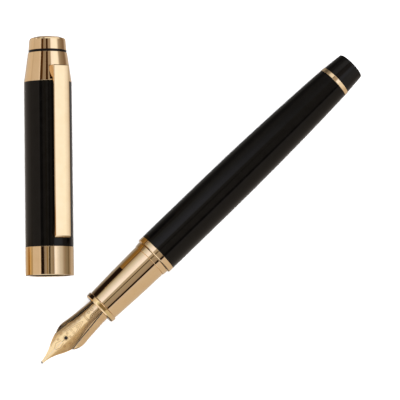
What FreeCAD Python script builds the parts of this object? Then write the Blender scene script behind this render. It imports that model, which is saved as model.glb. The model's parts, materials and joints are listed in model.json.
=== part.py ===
import FreeCAD, Part
import math
import os
import re

import Sketcher

# Fountain pen with a pull-off cap, millimetres, +Z up. Pen and cap lie side by side on a flat surface.
# Pen pieces are drawn in the pen's frame: x runs along its axis from the barrel's front edge to the tail.
# Cap pieces are drawn in the cap's frame: x runs along its axis from mouth to crown, with the clip on +z.

SIZES = {
    # grip section, from the lip at the nib end to the thread in the barrel
    "lip_front": -22.47,
    "grip_front": -20.92,
    "snap_front": -3.3,
    "snap_back": -1.75,
    "thread_back": 8.0,
    "lip_radius": 5.05,
    "grip_front_radius": 4.7,
    "grip_back_radius": 5.22,
    "grip_arc": 500.0,
    "snap_front_radius": 5.4,
    "snap_back_radius": 5.5,
    "grip_bore": 4.32,
    "core_front": -13.4,
    "core_wall_back": -12.6,
    "core_bore": 4.0,
    "thread_radius": 4.85,
    "thread_root": 4.5,
    "thread_pitch": 0.9,
    "collar_front": -20.85,
    "collar_bore": 3.52,
    "nipple_back": -8.4,
    "nipple_radius": 1.15,
    "nipple_bore": 0.7,
    "nipple_flange": 2.2,
    "nipple_flange_front": -13.9,
    # nib and feed
    "nib_back": -14.6,
    "nib_thickness": 0.34,
    "nib_roll": 11.8,
    "shoulder_front": -35.6,
    "nib_point": -43.53,
    "breather_place": -34.43,
    "breather_radius": 0.52,
    "slit_width": 0.09,
    "pellet_radius": 0.42,
    "pellet_place": -43.63,
    "pellet_height": 1.83,
    "nib_half_back": 1.7,
    "nib_half_lip": 1.76,
    "nib_half_point": 0.36,
    "shoulder_round": 0.7,
    "shoulder_drop": 0.08,
    "fin_first": -24.4,
    "fin_pitch": 0.95,
    "fin_gap": 0.36,
    "fin_core": 2.2,
    # barrel
    "ring_front": -1.65,
    "ring_radius": 6.0,
    "ring_bore": 4.97,
    "barrel_radius": 5.98,
    "taper_start": 20.0,
    "taper_arc": 960.0,
    "bush_back": 9.0,
    "bush_radius": 5.35,
    "bush_bore": 4.95,
    "cavity_front_radius": 5.2,
    "cavity_mid": 45.0,
    "cavity_mid_radius": 4.85,
    "cavity_back": 66.2,
    "cavity_back_radius": 4.05,
    "barrel_back": 67.5,
    "barrel_back_radius": 4.78,
    "tail_ring_back": 68.65,
    "tail_ring_front_radius": 4.82,
    "tail_ring_back_radius": 4.72,
    "tail_plug_radius": 4.64,
    "tail_end": 74.72,
    "tail_end_radius": 4.15,
    "tail_edge": 0.55,
    "tail_stud_radius": 1.3,
    "tail_head_front": 65.45,
    "tail_head_radius": 2.4,
    "tail_stud_back": 72.4,
    # ink cartridge and its ball
    "cartridge_front": -12.5,
    "cartridge_neck_back": -8.2,
    "cartridge_neck_radius": 2.6,
    "cartridge_mouth_bore": 1.24,
    "cartridge_shoulder_back": -7.2,
    "cartridge_radius": 3.72,
    "cartridge_wall": 0.5,
    "cartridge_back": 59.0,
    "ball_radius": 1.25,
    "ball_place": 1.5,
    "ball_drop": -1.92,
    # cap
    "band_back": 7.8,
    "band_radius": 6.6,
    "band_bore": 6.08,
    "mouth_lip": 1.0,
    "cap_bore": 5.6,
    "liner_radius": 5.88,
    "liner_end": 50.5,
    "liner_wall_end": 47.8,
    "liner_inside_end": 49.0,
    "tube_bore": 5.9,
    "tube_front_radius": 6.56,
    "tube_back_radius": 6.53,
    "tube_back": 53.0,
    "cone_spigot_front": 51.0,
    "cone_spigot_bore": 5.3,
    "cone_wall": 0.8,
    "cone_front_radius": 6.53,
    "cone_back": 61.1,
    "cone_back_radius": 5.36,
    "cone_roof": 60.0,
    "inlay_back": 61.78,
    "inlay_radius": 5.2,
    "crown_front_radius": 5.22,
    "crown_side_back": 64.75,
    "crown_back_radius": 4.98,
    "crown_edge_back": 65.3,
    "crown_edge_radius": 4.3,
    "crown_end": 65.5,
    "crown_flat": 3.6,
    "stud_radius": 1.5,
    "stud_head_front": 48.0,
    "stud_head_radius": 2.8,
    "stud_back": 64.2,
    # clip
    "clip_width": 4.52,
    "clip_end": 10.05,
    "clip_top": 8.7,
    "clip_underside": 7.65,
    "clip_root_back": 57.05,
    "clip_root_front": 53.63,
    "clip_foot": 3.1,
    "clip_toe_front": 11.2,
    "clip_toe_back": 12.8,
    "clip_toe_bottom": 6.68,
    "clip_toe_run": 1.6,
    "clip_lip": 0.45,
    "clip_play": 0.16,
    "slot_front": 53.3,
    "slot_back": 57.35,
    # layout on the surface: the barrel ring and the cap band touch it
    "pen_place_x": -15.335,
    "pen_place_y": -30.241,
    "cap_mouth_x": -25.76,
    "cap_mouth_y": 15.89,
    "cap_turn": 46.66,
    "clip_roll": 25.0,
}

THREAD_TURNS = 7
FIN_COUNT = 10
SKETCH_TOLERANCE = 1e-6

doc = FreeCAD.newDocument("fountain_pen")
sheet = doc.addObject("Spreadsheet::Sheet", "dims")
for row, (alias, value) in enumerate(SIZES.items(), start=1):
    sheet.set("A%d" % row, alias.replace("_", " "))
    sheet.set("B%d" % row, str(value))
    sheet.setAlias("B%d" % row, alias)
doc.recompute()

sub_parts = []


def bound(text):
    """The expression with each cell's alias written as the sheet's property."""
    return re.sub(r"[a-z]\w*", lambda word: "dims." + word.group(0), text)


def size(text):
    """The expression's present value."""
    return float(sheet.evalExpression(text))


def pen_placement(roll=0.0):
    """Pen frame in the row frame, rolled about the pen's axis."""
    place = FreeCAD.Vector(size("pen_place_x"), size("pen_place_y"), size("ring_radius"))
    return FreeCAD.Placement(place, FreeCAD.Rotation(FreeCAD.Vector(1, 0, 0), roll))


def cap_placement():
    """Cap frame in the row frame: turned on the surface, then rolled until the clip leans over."""
    place = FreeCAD.Vector(
        size("pen_place_x + cap_mouth_x"), size("pen_place_y + cap_mouth_y"), size("band_radius"))
    turn = FreeCAD.Rotation(FreeCAD.Vector(0, 0, 1), size("cap_turn"))
    roll = FreeCAD.Rotation(FreeCAD.Vector(1, 0, 0), size("clip_roll"))
    return FreeCAD.Placement(place, turn.multiply(roll))


def keep(piece, name, placement):
    """Names a finished sub-part and puts it in its place."""
    piece.Label = name
    piece.Placement = placement
    sub_parts.append(piece)
    return piece


def origin_plane(body, role):
    """The body's own origin plane with this role."""
    return next(feature for feature in body.Origin.OriginFeatures if feature.Role == role)


def new_sketch(body, name, role):
    """An empty sketch on one of the body's own origin planes."""
    sketch = body.newObject("Sketcher::SketchObject", name)
    sketch.AttachmentSupport = [(origin_plane(body, role), "")]
    sketch.MapMode = "FlatFace"
    return sketch


def arc_between(start, end, radius):
    """The short arc from start to end, bulging to the left, or to the right for a negative radius."""
    way = end - start
    across = FreeCAD.Vector(-way.y, way.x, 0).normalize()
    height = math.sqrt(radius ** 2 - (way.Length / 2) ** 2)
    centre = (start + end) * 0.5 - across * math.copysign(height, radius)
    circle = Part.Circle(centre, FreeCAD.Vector(0, 0, 1), abs(radius))
    angles = [math.atan2(point.y - centre.y, point.x - centre.x) for point in (start, end)]
    if radius > 0:
        angles.reverse()
    return Part.ArcOfCircle(circle, angles[0], angles[0] + (angles[1] - angles[0]) % (2 * math.pi))


def draw_outline(sketch, outline):
    """Draws a closed outline of (x, y) or (x, y, arc radius to the next corner), bound to the sheet."""
    corners = [FreeCAD.Vector(size(corner[0]), size(corner[1]), 0) for corner in outline]
    ends = []
    for index, corner in enumerate(outline):
        start = corners[index]
        end = corners[(index + 1) % len(corners)]
        if len(corner) < 3:
            sketch.addGeometry(Part.LineSegment(start, end), False)
            ends.append((1, 2))
            continue
        arc = arc_between(start, end, size(corner[2]))
        sketch.addGeometry(arc, False)
        forwards = arc.StartPoint.distanceToPoint(start) < SKETCH_TOLERANCE
        ends.append((1, 2) if forwards else (2, 1))
    for index, corner in enumerate(outline):
        following = (index + 1) % len(outline)
        sketch.addConstraint(Sketcher.Constraint(
            "Coincident", index, ends[index][1], following, ends[following][0]))
        for kind, axis in (("DistanceX", 0), ("DistanceY", 1)):
            if size(corner[axis]) == 0:
                on_line = -1 if axis else -2
                sketch.addConstraint(Sketcher.Constraint("PointOnObject", index, ends[index][0], on_line))
                continue
            number = sketch.addConstraint(Sketcher.Constraint(
                kind, -1, 1, index, ends[index][0], size(corner[axis])))
            sketch.setExpression("Constraints[%d]" % number, bound(corner[axis]))
        if len(corner) == 3:
            number = sketch.addConstraint(Sketcher.Constraint("Radius", index, abs(size(corner[2]))))
            sketch.setExpression("Constraints[%d]" % number, "abs(%s)" % bound(corner[2]))


def turned(name, placement, outline):
    """A piece turned about its x axis: the outline's second value is the radius."""
    body = doc.addObject("PartDesign::Body", name)
    sketch = new_sketch(body, name + "_outline", "XY_Plane")
    draw_outline(sketch, outline)
    turning = body.newObject("PartDesign::Revolution", name + "_turning")
    turning.Profile = sketch
    turning.ReferenceAxis = (sketch, ["H_Axis"])
    turning.Angle = 360.0
    sketch.Visibility = False
    doc.recompute()
    return keep(body, name, placement)


def sleeve(front, back, outer_front, outer_back, bore):
    """Outline of a plain sleeve with a straight bore and a tapered outside."""
    return [(front, bore), (front, outer_front), (back, outer_back), (back, bore)]


def build_grip():
    """The part that the fingers hold, from the lip to the thread."""
    place = pen_placement()
    turned("section_lip", place, [
        ("lip_front", "collar_bore + 0.08"),
        ("lip_front", "lip_radius - 0.35"),
        ("lip_front + 0.35", "lip_radius"),
        ("grip_front - 0.2", "lip_radius"),
        ("grip_front", "lip_radius - 0.15"),
        ("grip_front", "collar_bore + 0.08"),
    ])
    turned("section_grip", place, [
        ("grip_front", "grip_bore"),
        ("grip_front", "grip_front_radius", "grip_arc"),
        ("snap_front", "grip_back_radius"),
        ("snap_front", "grip_bore"),
    ])
    turned("snap_ring", place, sleeve(
        "snap_front", "snap_back", "snap_front_radius", "snap_back_radius", "grip_bore"))
    turned("feed_collar", place, sleeve(
        "collar_front", "nipple_flange_front", "grip_bore - 0.01", "grip_bore - 0.01", "collar_bore"))
    thread = [("snap_back + 0.02", "thread_root")]
    for turn in range(THREAD_TURNS):
        start = "0.6 + %d * thread_pitch" % turn
        thread += [
            (start, "thread_root"),
            (start + " + thread_pitch * 0.4", "thread_radius"),
            (start + " + thread_pitch * 0.6", "thread_radius"),
        ]
    turned("section_core", place, [
        ("core_front", "nipple_radius + 0.01"),
        ("core_front", "grip_bore - 0.01"),
        ("snap_back", "grip_bore - 0.01"),
        *thread,
        ("thread_back - 0.5", "thread_root"),
        ("thread_back", "thread_root"),
        ("thread_back", "core_bore"),
        ("core_wall_back", "core_bore"),
        ("core_wall_back", "nipple_radius + 0.01"),
    ])
    turned("ink_nipple", place, [
        ("nipple_flange_front", "nipple_bore"),
        ("nipple_flange_front", "nipple_flange"),
        ("core_front", "nipple_flange"),
        ("core_front", "nipple_radius"),
        ("nipple_back - 0.8", "nipple_radius"),
        ("nipple_back", "nipple_bore + 0.1"),
        ("nipple_back", "nipple_bore"),
    ])


# Nib surface: at each place along the pen, height of the top line, radius of the arc across and half width.
NIB_STATIONS = [
    ("nib_back", 3.4, 3.4, 2.3),
    ("lip_front - 1.5", 3.44, 3.44, 2.5),
    ("lip_front - 6.5", 3.4, 4.0, 3.1),
    ("shoulder_front", 3.02, 7.0, 3.8),
    ("nib_point - 0.3", 1.96, 7.0, 3.4),
]

# Feed body: at each place along the pen, half width, half height and height of the ellipse's middle.
FEED_STATIONS = [
    ("nipple_flange_front", 3.3, 3.3, 0.0),
    ("grip_front + 3.0", 3.3, 3.3, 0.0),
    ("lip_front - 0.6", 3.36, 3.32, 0.0),
    ("lip_front - 4.5", 3.64, 3.27, 0.08),
    ("lip_front - 8.0", 4.0, 2.85, 0.35),
    ("lip_front - 10.4", 4.2, 2.35, 0.75),
    ("lip_front - 12.0", 3.8, 1.75, 1.2),
    ("lip_front - 13.0", 2.9, 1.05, 1.72),
    ("lip_front - 13.5", 1.7, 0.45, 2.15),
]

# Half outline of the nib seen from above, from the shoulder towards the point: way along, half width.
NIB_TAPER = [(0.0, 3.24), (-1.7, 2.62), (-3.7, 1.62), (-5.9, 0.74)]

# Height that is above, or below when negative, every face of the nib and feed.
CLEAR_OF_NIB = 6.0


def arc_strip(place, top, radius, half, low, high):
    """Closed cross-section between two arcs of one centre, from low to high above the nib's outer face."""
    centre = top - radius
    lean = math.asin(half / radius)
    inner, outer = [
        [FreeCAD.Vector(place, reach * math.sin(angle), centre + reach * math.cos(angle))
         for angle in (-lean, 0.0, lean)]
        for reach in (radius + low, radius + high)
    ]
    return Part.Wire([
        Part.Arc(*outer).toShape(),
        Part.makeLine(outer[2], inner[2]),
        Part.Arc(*reversed(inner)).toShape(),
        Part.makeLine(inner[0], outer[0]),
    ])


def nib_slab(low, high):
    """Curved slab along the nib's surface, from low to high above its outer face."""
    strips = [
        arc_strip(size(place), top, radius, half, low, high)
        for place, top, radius, half in NIB_STATIONS
    ]
    return Part.makeLoft(strips, True)


def nib_outline():
    """Nib seen from above: narrow at the lip, widest at the shoulder, drawn in to the point."""
    shoulder = size("shoulder_front")
    taper = [FreeCAD.Vector(shoulder + along, across, 0) for along, across in NIB_TAPER]
    taper.append(FreeCAD.Vector(size("nib_point"), size("nib_half_point"), 0))
    curve = Part.BSplineCurve()
    curve.interpolate(taper)
    back = FreeCAD.Vector(size("nib_back"), size("nib_half_back"), 0)
    lip = FreeCAD.Vector(size("lip_front"), size("nib_half_lip"), 0)
    edge_end = taper[0] + FreeCAD.Vector(size("shoulder_round"), -size("shoulder_drop"), 0)
    half = [
        Part.makeLine(back, lip),
        Part.makeLine(lip, edge_end),
        Part.makeLine(edge_end, taper[0]),
        curve.toShape(),
    ]
    middle = FreeCAD.Vector(0, 0, 0)
    across = FreeCAD.Vector(0, 1, 0)
    mirrored = [edge.mirror(middle, across) for edge in half]
    ends = [
        Part.makeLine(corner, FreeCAD.Vector(corner.x, -corner.y, 0))
        for corner in (back, taper[-1])
    ]
    return Part.Face(Part.Wire(Part.__sortEdges__(half + mirrored + ends)))


def nib_prism():
    """Everything straight above and below the nib's outline."""
    outline = nib_outline()
    outline.translate(FreeCAD.Vector(0, 0, -CLEAR_OF_NIB))
    return outline.extrude(FreeCAD.Vector(0, 0, 2 * CLEAR_OF_NIB))


def build_nib():
    """Gold nib with its breather hole and slit, and its writing pellet."""
    place = pen_placement(-size("nib_roll"))
    slab = nib_slab(-size("nib_thickness"), 0.0).common(nib_prism())
    breather = FreeCAD.Vector(size("breather_place"), 0, -CLEAR_OF_NIB)
    hole = Part.makeCylinder(size("breather_radius"), 2 * CLEAR_OF_NIB, breather, FreeCAD.Vector(0, 0, 1))
    slit_length = size("breather_place") - size("nib_point") + 1
    slit = Part.makeBox(
        slit_length, size("slit_width"), 2 * CLEAR_OF_NIB,
        breather - FreeCAD.Vector(slit_length, size("slit_width") / 2, 0))
    nib = doc.addObject("Part::Feature", "nib")
    nib.Shape = slab.cut(hole).cut(slit)
    keep(nib, "nib", place)

    ball = Part.makeSphere(
        size("pellet_radius"), FreeCAD.Vector(size("pellet_place"), 0, size("pellet_height")))
    behind = Part.makeBox(4, 4, 8, FreeCAD.Vector(size("nib_point"), -2, -2))
    pellet = doc.addObject("Part::Feature", "nib_tip")
    pellet.Shape = ball.cut(behind)
    keep(pellet, "nib_tip", place)


def feed_section(along, half_width, half_height, middle):
    """Elliptic cross-section of the feed."""
    edge = Part.Ellipse(FreeCAD.Vector(0, 0, 0), half_width, half_height).toShape()
    edge.rotate(FreeCAD.Vector(0, 0, 0), FreeCAD.Vector(0, 0, 1), 90)
    edge.rotate(FreeCAD.Vector(0, 0, 0), FreeCAD.Vector(0, 1, 0), 90)
    edge.translate(FreeCAD.Vector(size(along), 0, middle))
    return Part.Wire([edge])


def build_feed():
    """Feed under the nib, with its comb of fins below."""
    sections = [feed_section(*station) for station in FEED_STATIONS]
    seat = nib_slab(-size("nib_thickness"), 4.0).common(nib_prism())
    blank = Part.makeLoft(sections, True).cut(seat)
    core = Part.makeCylinder(
        size("fin_core"), 20, FreeCAD.Vector(size("lip_front") - 15, 0, 0), FreeCAD.Vector(1, 0, 0))
    gaps = [
        Part.makeBox(
            size("fin_gap"), 2 * CLEAR_OF_NIB, CLEAR_OF_NIB,
            FreeCAD.Vector(size("fin_first") - fin * size("fin_pitch"), -CLEAR_OF_NIB, -CLEAR_OF_NIB)
        ).cut(core)
        for fin in range(FIN_COUNT)
    ]
    feed = doc.addObject("Part::Feature", "feed")
    feed.Shape = blank.cut(gaps)
    keep(feed, "feed", pen_placement(-size("nib_roll")))


def build_barrel():
    """Barrel with its front ring, threaded bush, tail ring, tail plug and the stud that holds them."""
    place = pen_placement()
    turned("barrel_ring", place, [
        ("ring_front", "ring_bore"),
        ("ring_front", "ring_radius - 0.18"),
        ("ring_front + 0.18", "ring_radius"),
        ("0", "ring_radius"),
        ("0", "ring_bore"),
    ])
    turned("barrel_bush", place, sleeve(
        "0", "bush_back", "bush_radius - 0.01", "bush_radius - 0.01", "bush_bore"))
    turned("barrel_tube", place, [
        ("0", "bush_radius"),
        ("0", "barrel_radius"),
        ("taper_start", "barrel_radius", "taper_arc"),
        ("barrel_back", "barrel_back_radius"),
        ("barrel_back", "tail_stud_radius + 0.01"),
        ("cavity_back", "tail_stud_radius + 0.01"),
        ("cavity_back", "cavity_back_radius"),
        ("cavity_mid", "cavity_mid_radius"),
        ("bush_back", "cavity_front_radius"),
        ("bush_back", "bush_radius"),
    ])
    turned("tail_ring", place, sleeve(
        "barrel_back", "tail_ring_back", "tail_ring_front_radius", "tail_ring_back_radius",
        "tail_stud_radius + 0.01"))
    turned("tail_plug", place, [
        ("tail_ring_back", "tail_stud_radius + 0.01"),
        ("tail_ring_back", "tail_plug_radius"),
        ("tail_end - tail_edge", "tail_end_radius", "tail_edge * 1.01"),
        ("tail_end", "tail_end_radius - tail_edge"),
        ("tail_end", "0"),
        ("tail_stud_back + 0.02", "0"),
        ("tail_stud_back + 0.02", "tail_stud_radius + 0.01"),
    ])
    turned("tail_stud", place, [
        ("tail_head_front", "0"),
        ("tail_head_front", "tail_head_radius"),
        ("cavity_back", "tail_head_radius"),
        ("cavity_back", "tail_stud_radius"),
        ("tail_stud_back", "tail_stud_radius"),
        ("tail_stud_back", "0"),
    ])


def build_cartridge():
    """Long ink cartridge pushed on the nipple, and the loose ball inside it."""
    place = pen_placement()
    turned("cartridge_shell", place, [
        ("cartridge_front", "cartridge_mouth_bore"),
        ("cartridge_front", "cartridge_neck_radius"),
        ("cartridge_neck_back", "cartridge_neck_radius"),
        ("cartridge_shoulder_back", "cartridge_radius"),
        ("cartridge_back - 0.6", "cartridge_radius"),
        ("cartridge_back", "cartridge_radius - 0.6"),
        ("cartridge_back", "0"),
        ("cartridge_back - cartridge_wall", "0"),
        ("cartridge_back - cartridge_wall", "cartridge_radius - 0.8"),
        ("cartridge_back - 0.8", "cartridge_radius - cartridge_wall"),
        ("cartridge_shoulder_back + 0.2", "cartridge_radius - cartridge_wall"),
        ("cartridge_neck_back + 0.2", "cartridge_neck_radius - cartridge_wall"),
        ("cartridge_neck_back", "cartridge_mouth_bore"),
    ])
    ball = doc.addObject("Part::Sphere", "cartridge_ball")
    ball.setExpression("Radius", bound("ball_radius"))
    doc.recompute()
    keep(ball, "cartridge_ball", place.multiply(FreeCAD.Placement(
        FreeCAD.Vector(size("ball_place"), 0, size("ball_drop")), FreeCAD.Rotation())))


def build_cap():
    """Cap: mouth band, tube, inner cap, cone with the clip slot, inlay, crown and their stud."""
    place = cap_placement()
    turned("cap_band", place, [
        ("0", "cap_bore"),
        ("0", "band_radius - 0.2"),
        ("0.2", "band_radius"),
        ("band_back", "band_radius"),
        ("band_back", "band_bore"),
        ("mouth_lip", "band_bore"),
        ("mouth_lip", "cap_bore"),
    ])
    turned("cap_tube", place, [
        ("mouth_lip", "tube_bore"),
        ("mouth_lip", "band_bore - 0.01"),
        ("band_back", "band_bore - 0.01"),
        ("band_back", "tube_front_radius"),
        ("tube_back", "tube_back_radius"),
        ("tube_back", "tube_bore"),
    ])
    turned("inner_cap", place, [
        ("mouth_lip", "cap_bore"),
        ("mouth_lip", "liner_radius"),
        ("liner_end", "liner_radius"),
        ("liner_end", "stud_radius + 0.01"),
        ("liner_inside_end", "stud_radius + 0.01"),
        ("liner_inside_end", "cap_bore - 1.2"),
        ("liner_wall_end", "cap_bore"),
    ])
    cone = turned("cap_cone", place, [
        ("cone_spigot_front", "cone_spigot_bore"),
        ("cone_spigot_front", "tube_bore - 0.01"),
        ("tube_back", "tube_bore - 0.01"),
        ("tube_back", "cone_front_radius"),
        ("cone_back", "cone_back_radius"),
        ("cone_back", "stud_radius + 0.01"),
        ("cone_roof", "stud_radius + 0.01"),
        ("cone_roof", "cone_back_radius - cone_wall"),
        ("tube_back", "cone_spigot_bore"),
    ])
    cut_clip_slot(cone)
    turned("crown_inlay", place, sleeve(
        "cone_back", "inlay_back", "inlay_radius", "inlay_radius", "stud_radius + 0.01"))
    turned("cap_crown", place, [
        ("inlay_back", "stud_radius + 0.01"),
        ("inlay_back", "crown_front_radius"),
        ("crown_side_back", "crown_back_radius", "0.9"),
        ("crown_edge_back", "crown_edge_radius"),
        ("crown_end", "crown_flat"),
        ("crown_end", "0"),
        ("stud_back + 0.02", "0"),
        ("stud_back + 0.02", "stud_radius + 0.01"),
    ])
    turned("cap_stud", place, [
        ("stud_head_front", "0"),
        ("stud_head_front", "stud_head_radius"),
        ("liner_inside_end", "stud_head_radius"),
        ("liner_inside_end", "stud_radius"),
        ("stud_back", "stud_radius"),
        ("stud_back", "0"),
    ])


def cut_clip_slot(cone):
    """Opens the cone on the clip's side, from its wall inwards."""
    sketch = new_sketch(cone, "clip_slot_outline", "XY_Plane")
    side = "clip_width / 2 + clip_play"
    draw_outline(sketch, [
        ("slot_front", "-(%s)" % side),
        ("slot_back", "-(%s)" % side),
        ("slot_back", side),
        ("slot_front", side),
    ])
    before = cone.Shape.Volume
    pocket = cone.newObject("PartDesign::Pocket", "clip_slot")
    pocket.Profile = sketch
    pocket.setExpression("Length", bound("clip_top"))
    pocket.Reversed = True
    sketch.Visibility = False
    doc.recompute()
    if not cone.Shape.Volume < before:
        raise RuntimeError("the clip slot cuts nothing")


def build_clip():
    """Flat bar along the cap: toe near the mouth, root going down through the slot in the cone."""
    body = doc.addObject("PartDesign::Body", "clip")
    sketch = new_sketch(body, "clip_outline", "XZ_Plane")
    draw_outline(sketch, [
        ("clip_end", "clip_top - clip_lip"),
        ("clip_end + clip_lip", "clip_top"),
        ("clip_root_back - 0.25", "clip_top"),
        ("clip_root_back", "clip_top - 0.25"),
        ("clip_root_back", "clip_foot"),
        ("clip_root_front", "clip_foot"),
        ("clip_root_front", "clip_underside"),
        ("clip_toe_back + clip_toe_run", "clip_underside"),
        ("clip_toe_back", "clip_toe_bottom"),
        ("clip_toe_front", "clip_toe_bottom"),
        ("clip_end", "clip_underside - 0.2"),
    ])
    bar = body.newObject("PartDesign::Pad", "clip_bar")
    bar.Profile = sketch
    bar.Midplane = True
    bar.setExpression("Length", bound("clip_width"))
    sketch.Visibility = False
    doc.recompute()
    keep(body, "clip", cap_placement())


def check_and_write():
    """Stops if any object failed, then writes one STEP file for each sub-part."""
    doc.recompute()
    for item in doc.Objects:
        if "Invalid" in item.State or "Error" in item.State:
            raise RuntimeError("%s failed: %s" % (item.Name, item.State))
    for piece in sub_parts:
        if piece.Shape.isNull() or not piece.Shape.isValid():
            raise RuntimeError("%s has no valid shape" % piece.Label)
        if len(piece.Shape.Solids) != 1:
            raise RuntimeError("%s is %d solids" % (piece.Label, len(piece.Shape.Solids)))
    os.makedirs("parts", exist_ok=True)
    for piece in sub_parts:
        piece.Shape.exportStep("parts/%s.step" % piece.Label)
        print("%-16s %9.2f mm3" % (piece.Label, piece.Shape.Volume))


build_grip()
build_nib()
build_feed()
build_barrel()
build_cartridge()
build_cap()
build_clip()
check_and_write()
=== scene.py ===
import json
import math

import bmesh
import bpy
import numpy as np
from mathutils import Matrix, Vector

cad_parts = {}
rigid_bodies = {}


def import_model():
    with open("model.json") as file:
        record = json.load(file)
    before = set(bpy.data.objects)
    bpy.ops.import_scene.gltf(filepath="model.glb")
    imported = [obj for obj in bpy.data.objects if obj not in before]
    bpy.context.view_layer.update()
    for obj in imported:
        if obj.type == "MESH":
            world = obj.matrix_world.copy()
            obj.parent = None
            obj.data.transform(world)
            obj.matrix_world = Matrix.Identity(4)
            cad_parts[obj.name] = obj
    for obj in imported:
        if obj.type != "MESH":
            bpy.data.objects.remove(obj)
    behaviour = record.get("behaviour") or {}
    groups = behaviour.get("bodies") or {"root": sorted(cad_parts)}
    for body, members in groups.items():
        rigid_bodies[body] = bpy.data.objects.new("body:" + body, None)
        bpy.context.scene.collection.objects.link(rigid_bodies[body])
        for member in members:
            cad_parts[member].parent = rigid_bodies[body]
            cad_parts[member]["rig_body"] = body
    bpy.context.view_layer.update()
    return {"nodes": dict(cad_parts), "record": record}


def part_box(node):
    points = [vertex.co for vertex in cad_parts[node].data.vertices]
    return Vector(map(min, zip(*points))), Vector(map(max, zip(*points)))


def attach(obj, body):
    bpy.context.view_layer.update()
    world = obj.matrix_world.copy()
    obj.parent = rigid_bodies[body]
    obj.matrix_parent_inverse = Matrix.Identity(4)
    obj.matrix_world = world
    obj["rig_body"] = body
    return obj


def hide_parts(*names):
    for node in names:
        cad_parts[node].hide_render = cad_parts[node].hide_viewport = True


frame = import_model()

# Fountain pen and its cap, lying side by side. Outlines are in millimetres in the pen's and the cap's own
# frames, as in the CAD source. x runs along the axis: from the barrel's front edge to the tail, and from the
# cap's mouth to its crown. Materials come first, then the pieces, then camera, floor and light.
MM = 0.001          # metres in a millimetre
NIB_ROLL = -11.8    # degrees that nib and feed are turned about the pen's axis
CLIP_ROLL = 25.0    # degrees that the cap lies turned about its own axis

mounts = {mount["name"]: mount for mount in frame["record"]["mounts"]}


def pen_frame():
    """The barrel's front edge, on the pen's axis."""
    low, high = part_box("barrel_ring")
    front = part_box("barrel_tube")[0].x
    return Matrix.Translation((front, (low.y + high.y) / 2, (low.z + high.z) / 2))


def cap_frame():
    """The middle of the cap's mouth, with x towards the crown and the clip on +z."""
    socket = mounts["cap_socket"]
    turn = math.atan2(-socket["axis"][1], -socket["axis"][0])
    return (Matrix.Translation(socket["pos_m"]) @ Matrix.Rotation(turn, 4, "Z")
            @ Matrix.Rotation(math.radians(CLIP_ROLL), 4, "X"))


PEN = pen_frame()
ROLLED = PEN @ Matrix.Rotation(math.radians(NIB_ROLL), 4, "X")
CAP = cap_frame()


# ---------------------------------------------------------------- materials

def new_material(name):
    """An empty node material: its tree, its Principled shader, and object coordinates in millimetres."""
    material = bpy.data.materials.new(name)
    material.use_nodes = True
    tree = material.node_tree
    shader = next(node for node in tree.nodes if node.type == "BSDF_PRINCIPLED")
    coordinates = tree.nodes.new("ShaderNodeTexCoord")
    scale = tree.nodes.new("ShaderNodeVectorMath")
    scale.operation = "SCALE"
    scale.inputs["Scale"].default_value = 1 / MM
    tree.links.new(coordinates.outputs["Object"], scale.inputs[0])
    return material, tree, shader, scale.outputs[0]


def stretched(tree, vector, factors):
    """The vector with each of its parts multiplied."""
    node = tree.nodes.new("ShaderNodeVectorMath")
    node.operation = "MULTIPLY"
    node.inputs[1].default_value = factors
    tree.links.new(vector, node.inputs[0])
    return node.outputs[0]


def noise(tree, vector, scale, detail=3.0, roughness=0.55):
    """Cloudy noise, 0 to 1, with scale features to the millimetre."""
    node = tree.nodes.new("ShaderNodeTexNoise")
    node.inputs["Scale"].default_value = scale
    node.inputs["Detail"].default_value = detail
    node.inputs["Roughness"].default_value = roughness
    tree.links.new(vector, node.inputs["Vector"])
    return node.outputs["Fac"]


def spread(tree, value, low, high, to_low, to_high):
    """The value carried from one range to another, held at its ends."""
    node = tree.nodes.new("ShaderNodeMapRange")
    node.interpolation_type = "SMOOTHSTEP"
    for key, number in zip(("From Min", "From Max", "To Min", "To Max"), (low, high, to_low, to_high)):
        node.inputs[key].default_value = number
    tree.links.new(value, node.inputs["Value"])
    return node.outputs["Result"]


def calculate(tree, operation, first, second):
    """One Math node on sockets or plain numbers."""
    node = tree.nodes.new("ShaderNodeMath")
    node.operation = operation
    for place, value in enumerate((first, second)):
        if isinstance(value, (int, float)):
            node.inputs[place].default_value = value
        else:
            tree.links.new(value, node.inputs[place])
    return node.outputs[0]


def colour_ramp(tree, value, stops):
    """A linear colour ramp: stops are (place, (red, green, blue))."""
    node = tree.nodes.new("ShaderNodeValToRGB")
    elements = node.color_ramp.elements
    while len(elements) < len(stops):
        elements.new(0.5)
    for element, (place, colour) in zip(elements, stops):
        element.position = place
        element.color = (*colour, 1.0)
    tree.links.new(value, node.inputs["Fac"])
    return node.outputs["Color"]


# The Mix node has its sockets once for each kind of value, and these are the places of the colour ones.
MIX_COLOUR_A, MIX_COLOUR_B, MIX_COLOUR_RESULT = 6, 7, 2


def mixed(tree, factor, first, second):
    """A colour between two colour sockets."""
    node = tree.nodes.new("ShaderNodeMix")
    node.data_type = "RGBA"
    tree.links.new(factor, node.inputs["Factor"])
    tree.links.new(first, node.inputs[MIX_COLOUR_A])
    tree.links.new(second, node.inputs[MIX_COLOUR_B])
    return node.outputs[MIX_COLOUR_RESULT]


def weighted_sum(tree, first, first_weight, second, second_weight):
    """The sum of two values, each times its weight."""
    return calculate(tree, "ADD", calculate(tree, "MULTIPLY", first, first_weight),
                     calculate(tree, "MULTIPLY", second, second_weight))


def attribute(tree, name):
    """A number that the mesh carries at each point."""
    node = tree.nodes.new("ShaderNodeAttribute")
    node.attribute_name = name
    return node.outputs["Fac"]


def bump(tree, shader, heights, depth):
    """Adds surface relief from the height socket, depth in millimetres."""
    node = tree.nodes.new("ShaderNodeBump")
    node.inputs["Strength"].default_value = 1.0
    node.inputs["Distance"].default_value = depth * MM
    tree.links.new(heights, node.inputs["Height"])
    tree.links.new(node.outputs["Normal"], shader.inputs["Normal"])


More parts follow.
